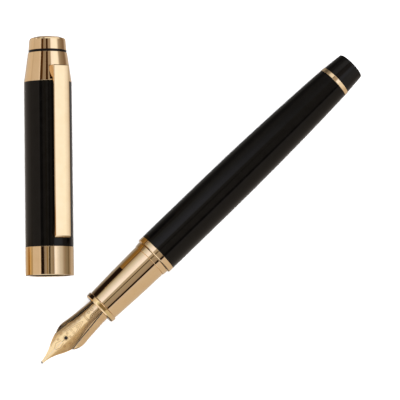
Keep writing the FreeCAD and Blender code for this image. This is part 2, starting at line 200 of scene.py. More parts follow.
def polished_metal(name, light, deep, rough=(0.035, 0.085), relief=0.0005, lines=(1.2, 40.0, 40.0)):
    """Plated metal: cloudy tone, faint hairlines in the roughness and a very small relief."""
    material, tree, shader, place = new_material(name)
    shader.inputs["Metallic"].default_value = 1.0
    clouds = noise(tree, place, 0.35, detail=4.0)
    hairlines = noise(tree, stretched(tree, place, lines), 1.0, detail=5.0, roughness=0.7)
    tone = weighted_sum(tree, clouds, 0.7, hairlines, 0.3)
    tree.links.new(colour_ramp(tree, tone, [(0.3, deep), (0.7, light)]), shader.inputs["Base Color"])
    tree.links.new(spread(tree, hairlines, 0.3, 0.8, *rough), shader.inputs["Roughness"])
    bump(tree, shader, hairlines, relief)
    return material


def lacquer(name, tone=0.0013, rough=(0.045, 0.1)):
    """Glossy black lacquer with the faint unevenness and dust of a polished coat."""
    material, tree, shader, place = new_material(name)
    clouds = noise(tree, place, 0.5, detail=5.0)
    peel = noise(tree, stretched(tree, place, (0.5, 1.0, 1.0)), 1.1, detail=2.0)
    dust = noise(tree, place, 14.0, detail=2.0)
    low, high = (tuple(tone * share for share in shares) for shares in ((0.8, 0.72, 0.66), (1.5, 1.35, 1.25)))
    tree.links.new(colour_ramp(tree, clouds, [(0.3, low), (0.7, high)]), shader.inputs["Base Color"])
    wear = weighted_sum(tree, clouds, 0.6, dust, 0.4)
    tree.links.new(spread(tree, wear, 0.35, 0.75, *rough), shader.inputs["Roughness"])
    shader.inputs["IOR"].default_value = 1.3
    shader.inputs["Specular Tint"].default_value = (1.0, 0.94, 0.86, 1.0)
    bump(tree, shader, peel, 0.0012)
    return material


def engraved_gold(name, light, deep):
    """Nib gold: bright on the plain metal; where the attribute says that it is engraved, duller and painted
    darker as shade in the cut lines.
    """
    material, tree, shader, place = new_material(name)
    shader.inputs["Metallic"].default_value = 1.0
    cut = attribute(tree, "engraved")
    grain = noise(tree, stretched(tree, place, (1.5, 6.0, 6.0)), 1.6, detail=6.0, roughness=0.7)
    plain = colour_ramp(tree, grain, [(0.3, deep), (0.7, light)])
    # Painted shade: a darker, browner gold in the engraved lines.
    painted_groove_shade = colour_ramp(tree, grain, [(0.3, (0.5, 0.29, 0.12)), (0.7, (0.66, 0.41, 0.19))])
    tree.links.new(mixed(tree, cut, plain, painted_groove_shade), shader.inputs["Base Color"])
    worn = spread(tree, grain, 0.3, 0.8, 0.1, 0.2)
    tree.links.new(calculate(tree, "MAXIMUM", worn, calculate(tree, "MULTIPLY", cut, 0.42)),
                   shader.inputs["Roughness"])
    bump(tree, shader, grain, 0.0015)
    return material


def gold_with_painted_shade(name, light, deep, rough):
    """Gold plate that is painted black, as shade, where the attribute says that it lies in a gap."""
    material, tree, shader, place = new_material(name)
    gap = attribute(tree, "gap")
    clouds = noise(tree, place, 0.6, detail=4.0)
    hairlines = noise(tree, stretched(tree, place, (1.2, 30.0, 30.0)), 1.0, detail=5.0, roughness=0.7)
    plate = colour_ramp(tree, clouds, [(0.3, deep), (0.7, light)])
    # Painted shadow: near-black, not metallic and dull where the feed lies in the shade of a gap.
    painted_gap_shadow = colour_ramp(tree, clouds, [(0.3, (0.010, 0.007, 0.005)), (0.7, (0.02, 0.014, 0.01))])
    tree.links.new(mixed(tree, gap, plate, painted_gap_shadow), shader.inputs["Base Color"])
    tree.links.new(spread(tree, gap, 0.0, 1.0, 1.0, 0.0), shader.inputs["Metallic"])
    shader.inputs["Specular IOR Level"].default_value = 0.2
    worn = spread(tree, hairlines, 0.3, 0.8, *rough)
    tree.links.new(calculate(tree, "MAXIMUM", worn, calculate(tree, "MULTIPLY", gap, 0.6)),
                   shader.inputs["Roughness"])
    bump(tree, shader, hairlines, 0.0008)
    return material


def resin(name, tone, rough=(0.3, 0.5)):
    """Matt moulded plastic."""
    material, tree, shader, place = new_material(name)
    grain = noise(tree, place, 5.0, detail=6.0)
    low = tuple(c * 0.75 for c in tone)
    high = tuple(c * 1.3 for c in tone)
    tree.links.new(colour_ramp(tree, grain, [(0.3, low), (0.7, high)]), shader.inputs["Base Color"])
    tree.links.new(spread(tree, grain, 0.3, 0.7, *rough), shader.inputs["Roughness"])
    bump(tree, shader, grain, 0.004)
    return material


def clear_plastic(name, tint, rough=(0.04, 0.14)):
    """Transparent moulded plastic with faint flow lines."""
    material, tree, shader, place = new_material(name)
    shader.inputs["Transmission Weight"].default_value = 0.9
    shader.inputs["IOR"].default_value = 1.49
    flow = noise(tree, stretched(tree, place, (0.3, 2.0, 2.0)), 1.0, detail=4.0)
    low = tuple(c * 0.85 for c in tint)
    tree.links.new(colour_ramp(tree, flow, [(0.3, low), (0.7, tint)]), shader.inputs["Base Color"])
    tree.links.new(spread(tree, flow, 0.3, 0.8, *rough), shader.inputs["Roughness"])
    bump(tree, shader, flow, 0.003)
    return material


# Marks that a lathe leaves round the axis: coarser relief, and lines across it.
TURNED = {"relief": 0.002, "lines": (30.0, 1.5, 1.5)}

MATERIALS = {
    "gold_trim": polished_metal("rose_gold_polished", (0.97, 0.745, 0.47), (0.93, 0.69, 0.41)),
    "nib_gold": engraved_gold("nib_gold_engraved", (0.96, 0.72, 0.44), (0.90, 0.65, 0.37)),
    "feed_gold": gold_with_painted_shade("feed_gold_plated_painted_shade", (0.93, 0.70, 0.43), (0.86, 0.62, 0.36), rough=(0.1, 0.2)),
    "tipping": polished_metal("tipping_alloy", (0.62, 0.60, 0.57), (0.50, 0.48, 0.45), rough=(0.15, 0.3)),
    "lacquer": lacquer("black_lacquer"),
    "inlay_black": lacquer("black_inlay", tone=0.002, rough=(0.15, 0.25)),
    "black_resin": resin("black_moulded_resin", (0.012, 0.011, 0.010)),
    "thread_brass": polished_metal(
        "turned_brass", (0.80, 0.58, 0.27), (0.62, 0.43, 0.19), rough=(0.14, 0.3), **TURNED),
    "stud_steel": polished_metal(
        "turned_steel", (0.58, 0.57, 0.55), (0.42, 0.41, 0.40), rough=(0.18, 0.35), **TURNED),
    "cartridge_clear": clear_plastic("cartridge_plastic", (0.50, 0.56, 0.78)),
    "ball_glass": clear_plastic("ball_glass_clear", (0.75, 0.85, 0.90), rough=(0.02, 0.06)),
}
for entry in frame["record"]["materials"]:
    for node in entry.get("nodes", []):
        frame["nodes"][node].data.materials.clear()
        frame["nodes"][node].data.materials.append(MATERIALS[entry["slot"]])


# ---------------------------------------------------------------- shapes

def linked(name, data):
    """A new object in the scene."""
    thing = bpy.data.objects.new(name, data)
    bpy.context.scene.collection.objects.link(thing)
    return thing


def solid(name, vertices, faces, place):
    """A closed mesh object, vertices in millimetres in the given frame, with its faces turned outwards."""
    mesh = bpy.data.meshes.new(name)
    mesh.from_pydata([tuple(v) for v in np.asarray(vertices, float) * MM], [], faces)
    work = bmesh.new()
    work.from_mesh(mesh)
    bmesh.ops.recalc_face_normals(work, faces=work.faces)
    work.to_mesh(mesh)
    work.free()
    thing = linked(name, mesh)
    thing.matrix_world = place
    return thing


SHARP = 32.0    # degrees between two faces from which their edge shows as a corner


def new_piece(name, vertices, faces, place, slot, nodes, sharp=SHARP):
    """A solid that stands for CAD nodes and rides on their body."""
    piece = solid(name, vertices, faces, place)
    finish_piece(piece, slot, sharp)
    body = frame["nodes"][nodes[0]]["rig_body"]
    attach(piece, body)
    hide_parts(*nodes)
    return piece


def finish_piece(piece, slot, sharp=SHARP):
    """Smooth faces with sharp edges at corners, and the slot's material."""
    mesh = piece.data
    mesh.materials.clear()
    mesh.materials.append(MATERIALS[slot])
    for face in mesh.polygons:
        face.use_smooth = True
    mesh.set_sharp_from_angle(angle=math.radians(sharp))


def evaluated(piece):
    """Applies the piece's modifiers to its mesh."""
    graph = bpy.context.evaluated_depsgraph_get()
    mesh = bpy.data.meshes.new_from_object(piece.evaluated_get(graph))
    piece.modifiers.clear()
    piece.data = mesh


def cut_by(piece, vertices, faces):
    """Takes a closed solid, in the piece's own frame in millimetres, away from the piece."""
    cutter = solid("cutter", vertices, faces, piece.matrix_world)
    modifier = piece.modifiers.new("cut", "BOOLEAN")
    modifier.operation = "DIFFERENCE"
    modifier.solver = "EXACT"
    modifier.object = cutter
    bpy.context.view_layer.update()
    evaluated(piece)
    bpy.data.objects.remove(cutter)


LONGEST_ROUNDING = 0.49    # how much of a side one corner's rounding may take


def rounded(corners, steps=4):
    """A closed outline of (x, distance from the axis); a corner's third number is the radius of its arc."""
    points = []
    count = len(corners)
    for index, corner in enumerate(corners):
        here = np.array(corner[:2], float)
        if len(corner) < 3:
            points.append(tuple(here))
            continue
        back = np.array(corners[index - 1][:2], float) - here
        ahead = np.array(corners[(index + 1) % count][:2], float) - here
        reach = min(np.linalg.norm(back), np.linalg.norm(ahead)) * LONGEST_ROUNDING
        back /= np.linalg.norm(back)
        ahead /= np.linalg.norm(ahead)
        half = math.acos(float(np.clip(back @ ahead, -1, 1))) / 2
        distance = min(corner[2] / math.tan(half), reach)
        centre = here + (back + ahead) / np.linalg.norm(back + ahead) * distance / math.cos(half)
        first = here + back * distance - centre
        last = here + ahead * distance - centre
        turn = math.atan2(first[0] * last[1] - first[1] * last[0], first @ last)
        for step in range(steps + 1):
            angle = turn * step / steps
            cosine, sine = math.cos(angle), math.sin(angle)
            points.append((
                centre[0] + first[0] * cosine - first[1] * sine,
                centre[1] + first[0] * sine + first[1] * cosine))
    return points


def bulge(start, end, radius, steps):
    """Points on the arc between two corners, ends left out, bulging away from the axis."""
    start, end = np.array(start, float), np.array(end, float)
    way = end - start
    length = np.linalg.norm(way)
    outward = np.array([-way[1], way[0]]) / length
    if outward[1] < 0:
        outward = -outward
    centre = (start + end) / 2 - outward * math.sqrt(radius ** 2 - length ** 2 / 4)
    first = math.atan2(*(start - centre)[::-1])
    last = math.atan2(*(end - centre)[::-1])
    angles = np.linspace(first, last, steps + 2)[1:-1]
    return [(centre[0] + radius * math.cos(a), centre[1] + radius * math.sin(a)) for a in angles]


SUPPORT = 0.05    # mm from a corner to the point that keeps the side beside it flat


def supported(outline):
    """The outline with a point close to each end of every long side, so that the side shades flat."""
    points = []
    for start, end in zip(outline, outline[1:] + outline[:1]):
        points.append(start)
        length = math.dist(start, end)
        if length > 4 * SUPPORT:
            for share in (SUPPORT / length, 1 - SUPPORT / length):
                points.append(tuple(a + (b - a) * share for a, b in zip(start, end)))
    return points


def around(count):
    """Angles evenly spaced round a full turn."""
    return np.arange(count) * 2 * math.pi / count


def tube_faces(rings, count):
    """Faces between rings of count points that follow each other."""
    faces = []
    for ring in range(rings - 1):
        for index in range(count):
            other = (index + 1) % count
            a, b = ring * count, (ring + 1) * count
            faces.append((a + index, a + other, b + other, b + index))
    return faces


def prism_faces(count):
    """Faces of a straight block whose two ends have count points each."""
    return [*tube_faces(2, count), tuple(range(count - 1, -1, -1)), tuple(range(count, 2 * count))]


def turned(outline, segments, warp=None):
    """Vertices and faces of a closed outline turned about the x axis; a radius of 0 is a single point."""
    angles = around(segments)
    vertices, rings = [], []
    for x, radius in outline:
        if radius < 1e-6:
            rings.append([len(vertices)])
            vertices.append((x, 0.0, 0.0))
            continue
        reach = np.full(segments, radius) if warp is None else warp(x, radius, angles)
        rings.append(list(range(len(vertices), len(vertices) + segments)))
        vertices += list(zip(np.full(segments, x), reach * np.sin(angles), reach * np.cos(angles)))
    faces = []
    for ring, following in zip(rings, rings[1:] + rings[:1]):
        for index in range(segments):
            other = (index + 1) % segments
            if len(ring) > 1 and len(following) > 1:
                faces.append((ring[index], ring[other], following[other], following[index]))
            elif len(ring) > 1:
                faces.append((ring[index], ring[other], following[0]))
            elif len(following) > 1:
                faces.append((ring[0], following[other], following[index]))
    return vertices, faces


def turned_piece(name, outline, place, slot, nodes, segments=144, warp=None, sharp=SHARP):
    """A piece made by turning a closed outline about the axis of its frame."""
    vertices, faces = turned(supported(outline), segments, warp)
    return new_piece(name, vertices, faces, place, slot, nodes, sharp)


def box_solid(low, high):
    """Vertices and faces of a block between two corners."""
    vertices = [(x, y, z) for x in (low[0], high[0]) for y in (low[1], high[1]) for z in (low[2], high[2])]
    faces = [(0, 1, 3, 2), (4, 6, 7, 5), (0, 4, 5, 1), (2, 3, 7, 6), (0, 2, 6, 4), (1, 5, 7, 3)]
    return vertices, faces


# ---------------------------------------------------------------- grip section

turned_piece("lip_polished", rounded([
    (-22.47, 3.6), (-22.47, 4.7, 0.1), (-22.12, 4.965, 0.1), (-21.1, 5.05, 0.08), (-20.93, 4.86),
    (-20.92, 3.6),
]), PEN, "gold_trim", ["section_lip"])

turned_piece("grip_polished", [
    (-20.92, 4.32), (-20.92, 4.62), (-20.85, 4.7),
    *bulge((-20.85, 4.703), (-3.36, 5.22), 500.0, 28),
    (-3.36, 5.22), (-3.3, 5.16), (-3.3, 4.32),
], PEN, "gold_trim", ["section_grip"], segments=160)

turned_piece("snap_step_polished", rounded([
    (-3.3, 4.32), (-3.3, 5.4, 0.07), (-1.75, 5.5, 0.07), (-1.75, 4.32),
]), PEN, "gold_trim", ["snap_ring"])

THREAD_START, THREAD_END, THREAD_PITCH = 0.4, 7.6, 0.9
THREAD_ROOT, THREAD_CREST = 4.5, 4.85
THREAD_FLANK = 5.2          # how fast a flank rises: the thread's height against a whole turn
THREAD_MIDDLE = 2.2         # the flanks' height where they would meet, cut off flat at 1
THREAD_FADE = 0.6           # over which the thread runs out at its ends


def thread_warp(x, radius, angles):
    """Raises the helical thread on the section's core."""
    if radius < THREAD_ROOT - 0.005 or not THREAD_START < x < THREAD_END:
        return np.full(len(angles), radius)
    turn = (x / THREAD_PITCH - angles / (2 * math.pi)) % 1.0
    height = np.clip(THREAD_MIDDLE - np.abs(turn - 0.5) * THREAD_FLANK, 0, 1)
    ends = min(1.0, (x - THREAD_START) / THREAD_FADE, (THREAD_END - x) / THREAD_FADE)
    return radius + (THREAD_CREST - THREAD_ROOT) * height * ends


turned_piece("section_threaded", [
    (-13.4, 1.16), (-13.4, 4.31), (-1.73, 4.31), (-1.73, THREAD_ROOT),
    *[(x, THREAD_ROOT) for x in np.linspace(THREAD_START, THREAD_END, 97)],
    (7.75, THREAD_ROOT), (8.0, 4.3), (8.0, 4.0), (-12.6, 4.0), (-12.6, 1.16),
], PEN, "black_resin", ["section_core"], segments=96, warp=thread_warp, sharp=50.0)


# ---------------------------------------------------------------- nib and feed

# Along the nib: x, the height of its top, and the radius of its arch.
NIB_STATIONS = np.array([
    (-14.6, 3.4, 3.4), (-23.97, 3.44, 3.44), (-28.97, 3.4, 4.0), (-35.6, 3.02, 7.0), (-43.83, 1.96, 7.0)])
# Half the nib's width at x: straight pieces over the feed, then a smooth taper to the point.
NIB_EDGE = np.array([(-14.6, 1.7), (-22.47, 1.76), (-34.9, 3.16), (-35.6, 3.24)])
NIB_TAPER = np.array([(-35.6, 3.24), (-37.3, 2.62), (-39.3, 1.62), (-41.5, 0.74), (-43.53, 0.36)])
# Along the feed: x, half its width, half its height, and the height of its middle.
FEED_STATIONS = np.array([
    (-13.9, 3.3, 3.3, 0.0), (-18.37, 3.3, 3.3, 0.0), (-23.07, 3.36, 3.32, 0.0), (-26.97, 3.64, 3.27, 0.08),
    (-30.47, 4.0, 2.85, 0.35), (-32.87, 4.2, 2.35, 0.75), (-34.47, 3.8, 1.75, 1.2), (-35.47, 2.9, 1.05, 1.72),
    (-35.97, 1.7, 0.45, 2.15)])
NIB_THICKNESS = 0.34
BREATHER_X, BREATHER_RADIUS, BREATHER_SIDES = -34.43, 0.52, 40
SLIT_WIDTH = 0.09
GROOVE_WIDTH, GROOVE_DEPTH = 0.07, 0.016


def curve_through(places, values):
    """A smooth function through the points (natural cubic spline); places may go down."""
    order = np.argsort(places)
    x, y = np.asarray(places, float)[order], np.asarray(values, float)[order]
    h = np.diff(x)
    count = len(x)
    matrix = np.eye(count)
    right = np.zeros(count)
    for i in range(1, count - 1):
        matrix[i, i - 1:i + 2] = h[i - 1], 2 * (h[i - 1] + h[i]), h[i]
        right[i] = 3 * ((y[i + 1] - y[i]) / h[i] - (y[i] - y[i - 1]) / h[i - 1])
    c = np.linalg.solve(matrix, right)

    def value(at):
        at = np.asarray(at, float)
        i = np.clip(np.searchsorted(x, at) - 1, 0, count - 2)
        b = (y[i + 1] - y[i]) / h[i] - h[i] * (2 * c[i] + c[i + 1]) / 3
        d = (c[i + 1] - c[i]) / (3 * h[i])
        t = at - x[i]
        return y[i] + b * t + c[i] * t ** 2 + d * t ** 3
    return value


nib_top = curve_through(NIB_STATIONS[:, 0], NIB_STATIONS[:, 1])
nib_radius = curve_through(NIB_STATIONS[:, 0], NIB_STATIONS[:, 2])
nib_taper = curve_through(NIB_TAPER[:, 0], NIB_TAPER[:, 1])


def nib_half(x):
    """Half width of the nib seen from above."""
    x = np.asarray(x, float)
    straight = np.interp(-x, -NIB_EDGE[:, 0], NIB_EDGE[:, 1])
    return np.where(x < NIB_TAPER[0, 0], nib_taper(x), straight)


def ring_line(x, y, radius, turns=1.0, start=0.0, shrink=0.0, steps=26):
    """A circle, or a scroll if it shrinks, as points."""
    t = np.linspace(0, 1, steps)
    reach = radius * (1 - shrink * t)
    angle = start + 2 * math.pi * turns * t
    return np.stack([x + reach * np.cos(angle), y + reach * np.sin(angle)], 1)


def both_sides(lines):
    """The lines, and their mirror images across the slit."""
    return [*lines, *[line * np.array([1, -1]) for line in lines]]


def edge_line(first, last, inset, steps):
    """A line beside the nib's edge."""
    x = np.linspace(first, last, steps)
    return np.stack([x, np.maximum(nib_half(x) - inset, 0.05)], 1)


def engraving():
    """The nib's ornament as lines of (x, y): borders, arches, chevrons, rings and scrolls of no one maker."""
    across = np.linspace(-1, 1, 25)
    arch = np.stack([-26.6 + 0.75 * across ** 2, across * 1.75], 1)
    inner_arch = np.stack([-26.95 + 0.75 * across ** 2, across * 1.72], 1)
    lines = [arch, inner_arch]
    lines += both_sides([
        edge_line(-22.6, -38.9, 0.42, 90),
        edge_line(-26.9, -37.6, 0.66, 70),
        np.array([(-28.0, 0.0), (-30.6, 1.15), (-33.4, 1.75)]),
        np.array([(-28.9, 0.0), (-31.2, 0.85), (-33.2, 1.2)]),
        ring_line(-24.0, 0.62, 0.34),
        ring_line(-25.15, 0.66, 0.3),
        ring_line(-28.3, 1.25, 0.3),
        ring_line(-29.7, 1.55, 0.3),
        ring_line(-31.2, 1.95, 0.32),
        ring_line(-32.9, 2.15, 0.34),
        ring_line(-34.6, 1.9, 0.42, turns=1.6, shrink=0.7),
        ring_line(-33.3, 0.62, 0.3, turns=1.5, shrink=0.6, start=1.0),
        ring_line(-31.9, 0.45, 0.24),
        ring_line(-36.2, 1.35, 0.36, turns=1.5, shrink=0.6, start=2.0),
        np.array([(-35.9, 0.5), (-37.4, 0.95), (-38.7, 0.2)]),
    ])
    lines.append(ring_line(BREATHER_X, 0.0, BREATHER_RADIUS + 0.22, steps=36))
    lines.append(ring_line(-30.2, 0.0, 0.26))
    return lines


def groove_depth(x, y, lines):
    """How deep each point is in the engraved lines, 0 to 1."""
    points = np.stack([x, y], 1)
    nearest = np.full(len(points), np.inf)
    reach = 0.4
    for line in lines:
        low, high = line.min(0) - reach, line.max(0) + reach
        near = np.flatnonzero(((points > low) & (points < high)).all(1))
        for start, end in zip(line[:-1], line[1:]):
            way = end - start
            t = np.clip((points[near] - start) @ way / max(way @ way, 1e-9), 0, 1)
            gap = np.linalg.norm(points[near] - start - t[:, None] * way, axis=1)
            nearest[near] = np.minimum(nearest[near], gap)
    return np.exp(-(nearest / GROOVE_WIDTH) ** 2)


def grid_faces(rows, columns, offset=0, flip=False):
    """Faces of a grid of points that begin at offset."""
    faces = []
    for row in range(rows - 1):
        for column in range(columns - 1):
            a = offset + row * columns + column
            face = (a, a + 1, a + columns + 1, a + columns)
            faces.append(face[::-1] if flip else face)
    return faces


def make_nib():
    """Curved gold sheet with an engraved face, a breather hole and a slit."""
    back, lip, point = -14.6, -22.0, -43.53
    x = np.concatenate([np.linspace(back, lip, 8, endpoint=False), np.linspace(lip, point, 300)])
    v = np.linspace(-1, 1, 97)
    gx, gv = np.meshgrid(x, v, indexing="ij")
    half, radius, top = nib_half(gx), nib_radius(gx), nib_top(gx)
    across = gv * half
    lean = np.arcsin(across / radius)
    flat = (gx.ravel(), (lean * radius).ravel())
    cut = groove_depth(*flat, engraving()).reshape(gx.shape)
    rounding_start, rounding_drop = 0.97, 0.05
    edge = np.clip((np.abs(gv) - rounding_start) / (1 - rounding_start), 0, 1) ** 2 * rounding_drop
    reach = radius - GROOVE_DEPTH * cut - edge
    middle = top - radius
    outer = np.stack([gx, reach * np.sin(lean), middle + reach * np.cos(lean)], -1).reshape(-1, 3)
    low = radius - NIB_THICKNESS
    inner = np.stack([gx, low * np.sin(lean), middle + low * np.cos(lean)], -1).reshape(-1, 3)
    rows, columns = gx.shape
    count = rows * columns
    faces = grid_faces(rows, columns) + grid_faces(rows, columns, count, flip=True)
    # The rim goes once round the grid, and joins the outer face to the inner one.
    rim = ([row * columns for row in range(rows)]
           + [(rows - 1) * columns + column for column in range(1, columns)]
           + [row * columns + columns - 1 for row in range(rows - 2, -1, -1)]
           + list(range(columns - 2, 0, -1)))
    for a, b in zip(rim, rim[1:] + rim[:1]):
        faces.append((a, b, b + count, a + count))
    nib_sharp = 40.0
    nib = new_piece(
        "nib_engraved", np.concatenate([outer, inner]), faces, ROLLED, "nib_gold", ["nib"], sharp=nib_sharp)
    # The engraved lines' mask: the material makes them duller and paints shade in them.
    engraved = nib.data.attributes.new("engraved", "FLOAT", "POINT")
    engraved.data.foreach_set("value", np.concatenate([cut.ravel(), np.zeros(count)]).astype(np.float32))
    below, above = 0.0, 6.0
    hole = [(BREATHER_RADIUS * math.cos(a) + BREATHER_X, BREATHER_RADIUS * math.sin(a), z)
            for z in (below, above) for a in around(BREATHER_SIDES)]
    cut_by(nib, hole, prism_faces(BREATHER_SIDES))
    past_point, inside_hole = -45.0, BREATHER_X - 0.3
    cut_by(nib, *box_solid((past_point, -SLIT_WIDTH / 2, below), (inside_hole, SLIT_WIDTH / 2, above)))
    finish_piece(nib, "nib_gold", nib_sharp)


make_nib()

# The comb's gaps: where the first starts, how far apart they are, how wide, down to what radius, how many.
FIN_FIRST, FIN_PITCH, FIN_GAP, FIN_CORE, FIN_COUNT = -24.4, 0.95, 0.36, 2.2, 10
FEED_SIDES = 192
FEED_CLEARANCE = 0.01       # between the feed's roof and the nib
FEED_OVERHANG = 0.02        # how far the roof goes on past the nib's edge
SHADE_WIDTH = 0.22          # beside the nib's edge, painted black as shade like what lies under the nib
# Where the painted shade begins along the feed, and the height below which the feed isn't painted.
SHADE_START, SHADE_BOTTOM = -21.5, 0.5


def make_feed():
    """The feed: round in the section, spreading and thinning under the nib, with a comb of fins below."""
    shape = [curve_through(FEED_STATIONS[:, 0], FEED_STATIONS[:, column]) for column in (1, 2, 3)]
    gaps = [(FIN_FIRST - fin * FIN_PITCH, FIN_FIRST - fin * FIN_PITCH + FIN_GAP) for fin in range(FIN_COUNT)]
    places = set(np.round(np.linspace(FEED_STATIONS[0, 0], FEED_STATIONS[-1, 0], 120), 4))
    margin, wall = 0.02, 0.001
    rows = [(x, False) for x in places if not any(low - margin <= x <= high + margin for low, high in gaps)]
    for low, high in gaps:
        rows += [(low - wall, False), (low, True), (high, True), (high + wall, False)]
    rows.sort(reverse=True)
    angles = around(FEED_SIDES)
    vertices, painted_shade_mask = [], []
    for x, in_gap in rows:
        width, height, middle = (float(part(x)) for part in shape)
        y, z = width * np.sin(angles), middle + height * np.cos(angles)
        under = nib_half(x) + FEED_OVERHANG
        radius = float(nib_radius(x)) - NIB_THICKNESS - FEED_CLEARANCE
        roof = float(nib_top(x) - nib_radius(x)) + np.sqrt(np.maximum(radius ** 2 - y ** 2, 0))
        covered = (np.abs(y) < under) & (z > roof) & (z > 0)
        z = np.where(covered, roof, z)
        if in_gap:
            reach = np.hypot(y, z)
            shrink = np.where((z < 0) & (reach > FIN_CORE), FIN_CORE / np.maximum(reach, 1e-6), 1)
            y, z = y * shrink, z * shrink
        vertices += list(zip(np.full(len(y), x), y, z))
        # Painted shadow: the feed's top under the nib and a strip beside its edge are marked for the material
        # to paint black.
        painted_shade_mask += list((z > SHADE_BOTTOM) & (np.abs(y) < under + SHADE_WIDTH) & (x < SHADE_START))
    last = len(vertices) - 1
    ends = [tuple(range(FEED_SIDES)), tuple(range(last, last - FEED_SIDES, -1))]
    faces = tube_faces(len(rows), FEED_SIDES) + ends
    feed = new_piece("feed_combed", vertices, faces, ROLLED, "feed_gold", ["feed"], sharp=38.0)
    # The painted shadow's mask, stored as the gap attribute.
    feed.data.attributes.new("gap", "FLOAT", "POINT").data.foreach_set("value", np.array(painted_shade_mask, np.float32))


make_feed()


# ---------------------------------------------------------------- barrel

turned_piece("barrel_ring_polished", rounded([
    (-1.65, 4.97), (-1.65, 5.78, 0.03), (-1.43, 6.0, 0.05), (-0.04, 6.0, 0.03), (0.0, 5.96), (0.0, 4.97),
]), PEN, "gold_trim", ["barrel_ring"], segments=160)

turned_piece("barrel_lacquered", [
    (0.0, 5.35), (0.0, 5.9), (0.03, 5.96), (0.1, 5.98),
    *[(x, 5.98) for x in np.linspace(2.0, 20.0, 7)],
    *bulge((20.0, 5.98), (67.42, 4.783), 960.0, 28),
    (67.42, 4.783), (67.5, 4.7), (67.5, 1.31),
    (66.2, 1.31), (66.2, 4.05), (45.0, 4.85), (9.0, 5.2), (9.0, 5.35),
], PEN, "lacquer", ["barrel_tube"], segments=160)

turned_piece("tail_ring_polished", rounded([
    (67.5, 1.31), (67.5, 4.82, 0.05), (68.65, 4.72, 0.05), (68.65, 1.31),
]), PEN, "gold_trim", ["tail_ring"])

turned_piece("tail_plug_lacquered", [
    (68.65, 1.31), (68.65, 4.56), (68.68, 4.62), (68.75, 4.635),
    *rounded([(68.75, 4.635), (74.72, 4.13, 0.62), (74.72, 0.5)], steps=10)[1:-1],
    (74.72, 0.0), (72.42, 0.0), (72.42, 1.31),
], PEN, "lacquer", ["tail_plug"])


# ---------------------------------------------------------------- cap

turned_piece("cap_band_polished", rounded([
    (0.0, 5.6, 0.1), (0.0, 6.6, 0.16), (7.8, 6.6, 0.05), (7.8, 6.08), (1.0, 6.08), (1.0, 5.6),
]), CAP, "gold_trim", ["cap_band"], segments=160)

turned_piece("cap_tube_lacquered", [
    (1.0, 5.9), (1.0, 6.07), (7.8, 6.07), (7.8, 6.52), (7.85, 6.56),
    *[(x, 6.56 - 0.03 * (x - 7.85) / 45.1) for x in np.linspace(12.0, 50.0, 8)],
    (52.95, 6.53), (53.0, 6.49), (53.0, 5.9),
], CAP, "lacquer", ["cap_tube"], segments=160)

cone = turned_piece("cap_cone_polished", rounded([
    (51.0, 5.3), (51.0, 5.89), (53.0, 5.89), (53.0, 6.53, 0.05), (61.1, 5.36, 0.05),
    (61.1, 1.51), (60.0, 1.51), (60.0, 4.56), (53.0, 5.3),
]), CAP, "gold_trim", ["cap_cone"], segments=160)
# The slot that the clip's root goes through.
cut_by(cone, *box_solid((53.3, -2.31, 2.0), (57.2, 2.31, 9.0)))
finish_piece(cone, "gold_trim")

turned_piece("crown_inlay_black", rounded([
    (61.1, 1.51), (61.1, 5.2, 0.04), (61.78, 5.2, 0.04), (61.78, 1.51),
]), CAP, "inlay_black", ["crown_inlay"])

turned_piece("crown_polished", [
    (61.78, 1.51), (61.78, 5.17), (61.82, 5.215), (64.5, 5.01),
    *rounded([(64.5, 5.01), (64.6, 5.0, 0.1), (65.03, 4.85, 0.14), (65.14, 4.55, 0.1), (65.5, 3.6, 0.15),
              (65.5, 1.0)])[1:-1],
    (65.5, 0.0), (64.22, 0.0), (64.22, 1.51),
], CAP, "gold_trim", ["cap_crown"], segments=160)


def make_clip():
    """Flat sprung bar: chamfered end, toe on the underside, root turned down into the cone."""
    side = [
        (10.05, 8.25), (10.5, 8.7), (56.8, 8.7), (57.05, 8.45), (57.05, 3.1), (53.63, 3.1), (53.63, 7.65),
        (14.4, 7.65), (12.8, 6.68), (11.2, 6.68), (10.05, 7.45)]
    half_width, clip_sharp = 2.26, 40.0
    vertices = [(x, y, z) for y in (-half_width, half_width) for x, z in side]
    clip = new_piece(
        "clip_polished", vertices, prism_faces(len(side)), CAP, "gold_trim", ["clip"], sharp=clip_sharp)
    edges = clip.modifiers.new("edges", "BEVEL")
    edges.width = 0.1 * MM
    edges.segments = 3
    edges.limit_method = "ANGLE"
    edges.angle_limit = math.radians(25)
    bpy.context.view_layer.update()
    evaluated(clip)
    finish_piece(clip, "gold_trim", clip_sharp)


make_clip()


# ---------------------------------------------------------------- camera, floor and light

def make_camera():
    """Looks down on the pen from above its nib end. Places are in metres and the roll in radians."""
    place = Vector((-0.069915, -0.030101, 0.712))
    aim = Vector((0.003019, -0.027945, 0.006))
    forward = (aim - place).normalized()
    right = Vector((0.7166, -0.6975, 0.0))
    right = (right - right.dot(forward) * forward).normalized()
    up = right.cross(forward)
    roll = 0.006157
    right, up = math.cos(roll) * right + math.sin(roll) * up, math.cos(roll) * up - math.sin(roll) * right
    data = bpy.data.cameras.new("camera")
    data.lens = 232.47
    data.sensor_width = 36.0
    data.clip_start = 0.01
    data.clip_end = 20.0
    camera = linked("camera", data)
    camera.matrix_world = Matrix.Translation(place) @ Matrix((right, up, -forward)).transposed().to_4x4()
    bpy.context.scene.camera = camera


make_camera()


def stage_mesh(name, vertices, faces, material):
    """A mesh in metres that isn't part of the object."""
    mesh = bpy.data.meshes.new(name)
    mesh.from_pydata(vertices, [], faces)
    mesh.materials.append(material)
    for face in mesh.polygons:
        face.use_smooth = True
    thing = linked(name, mesh)
    return thing


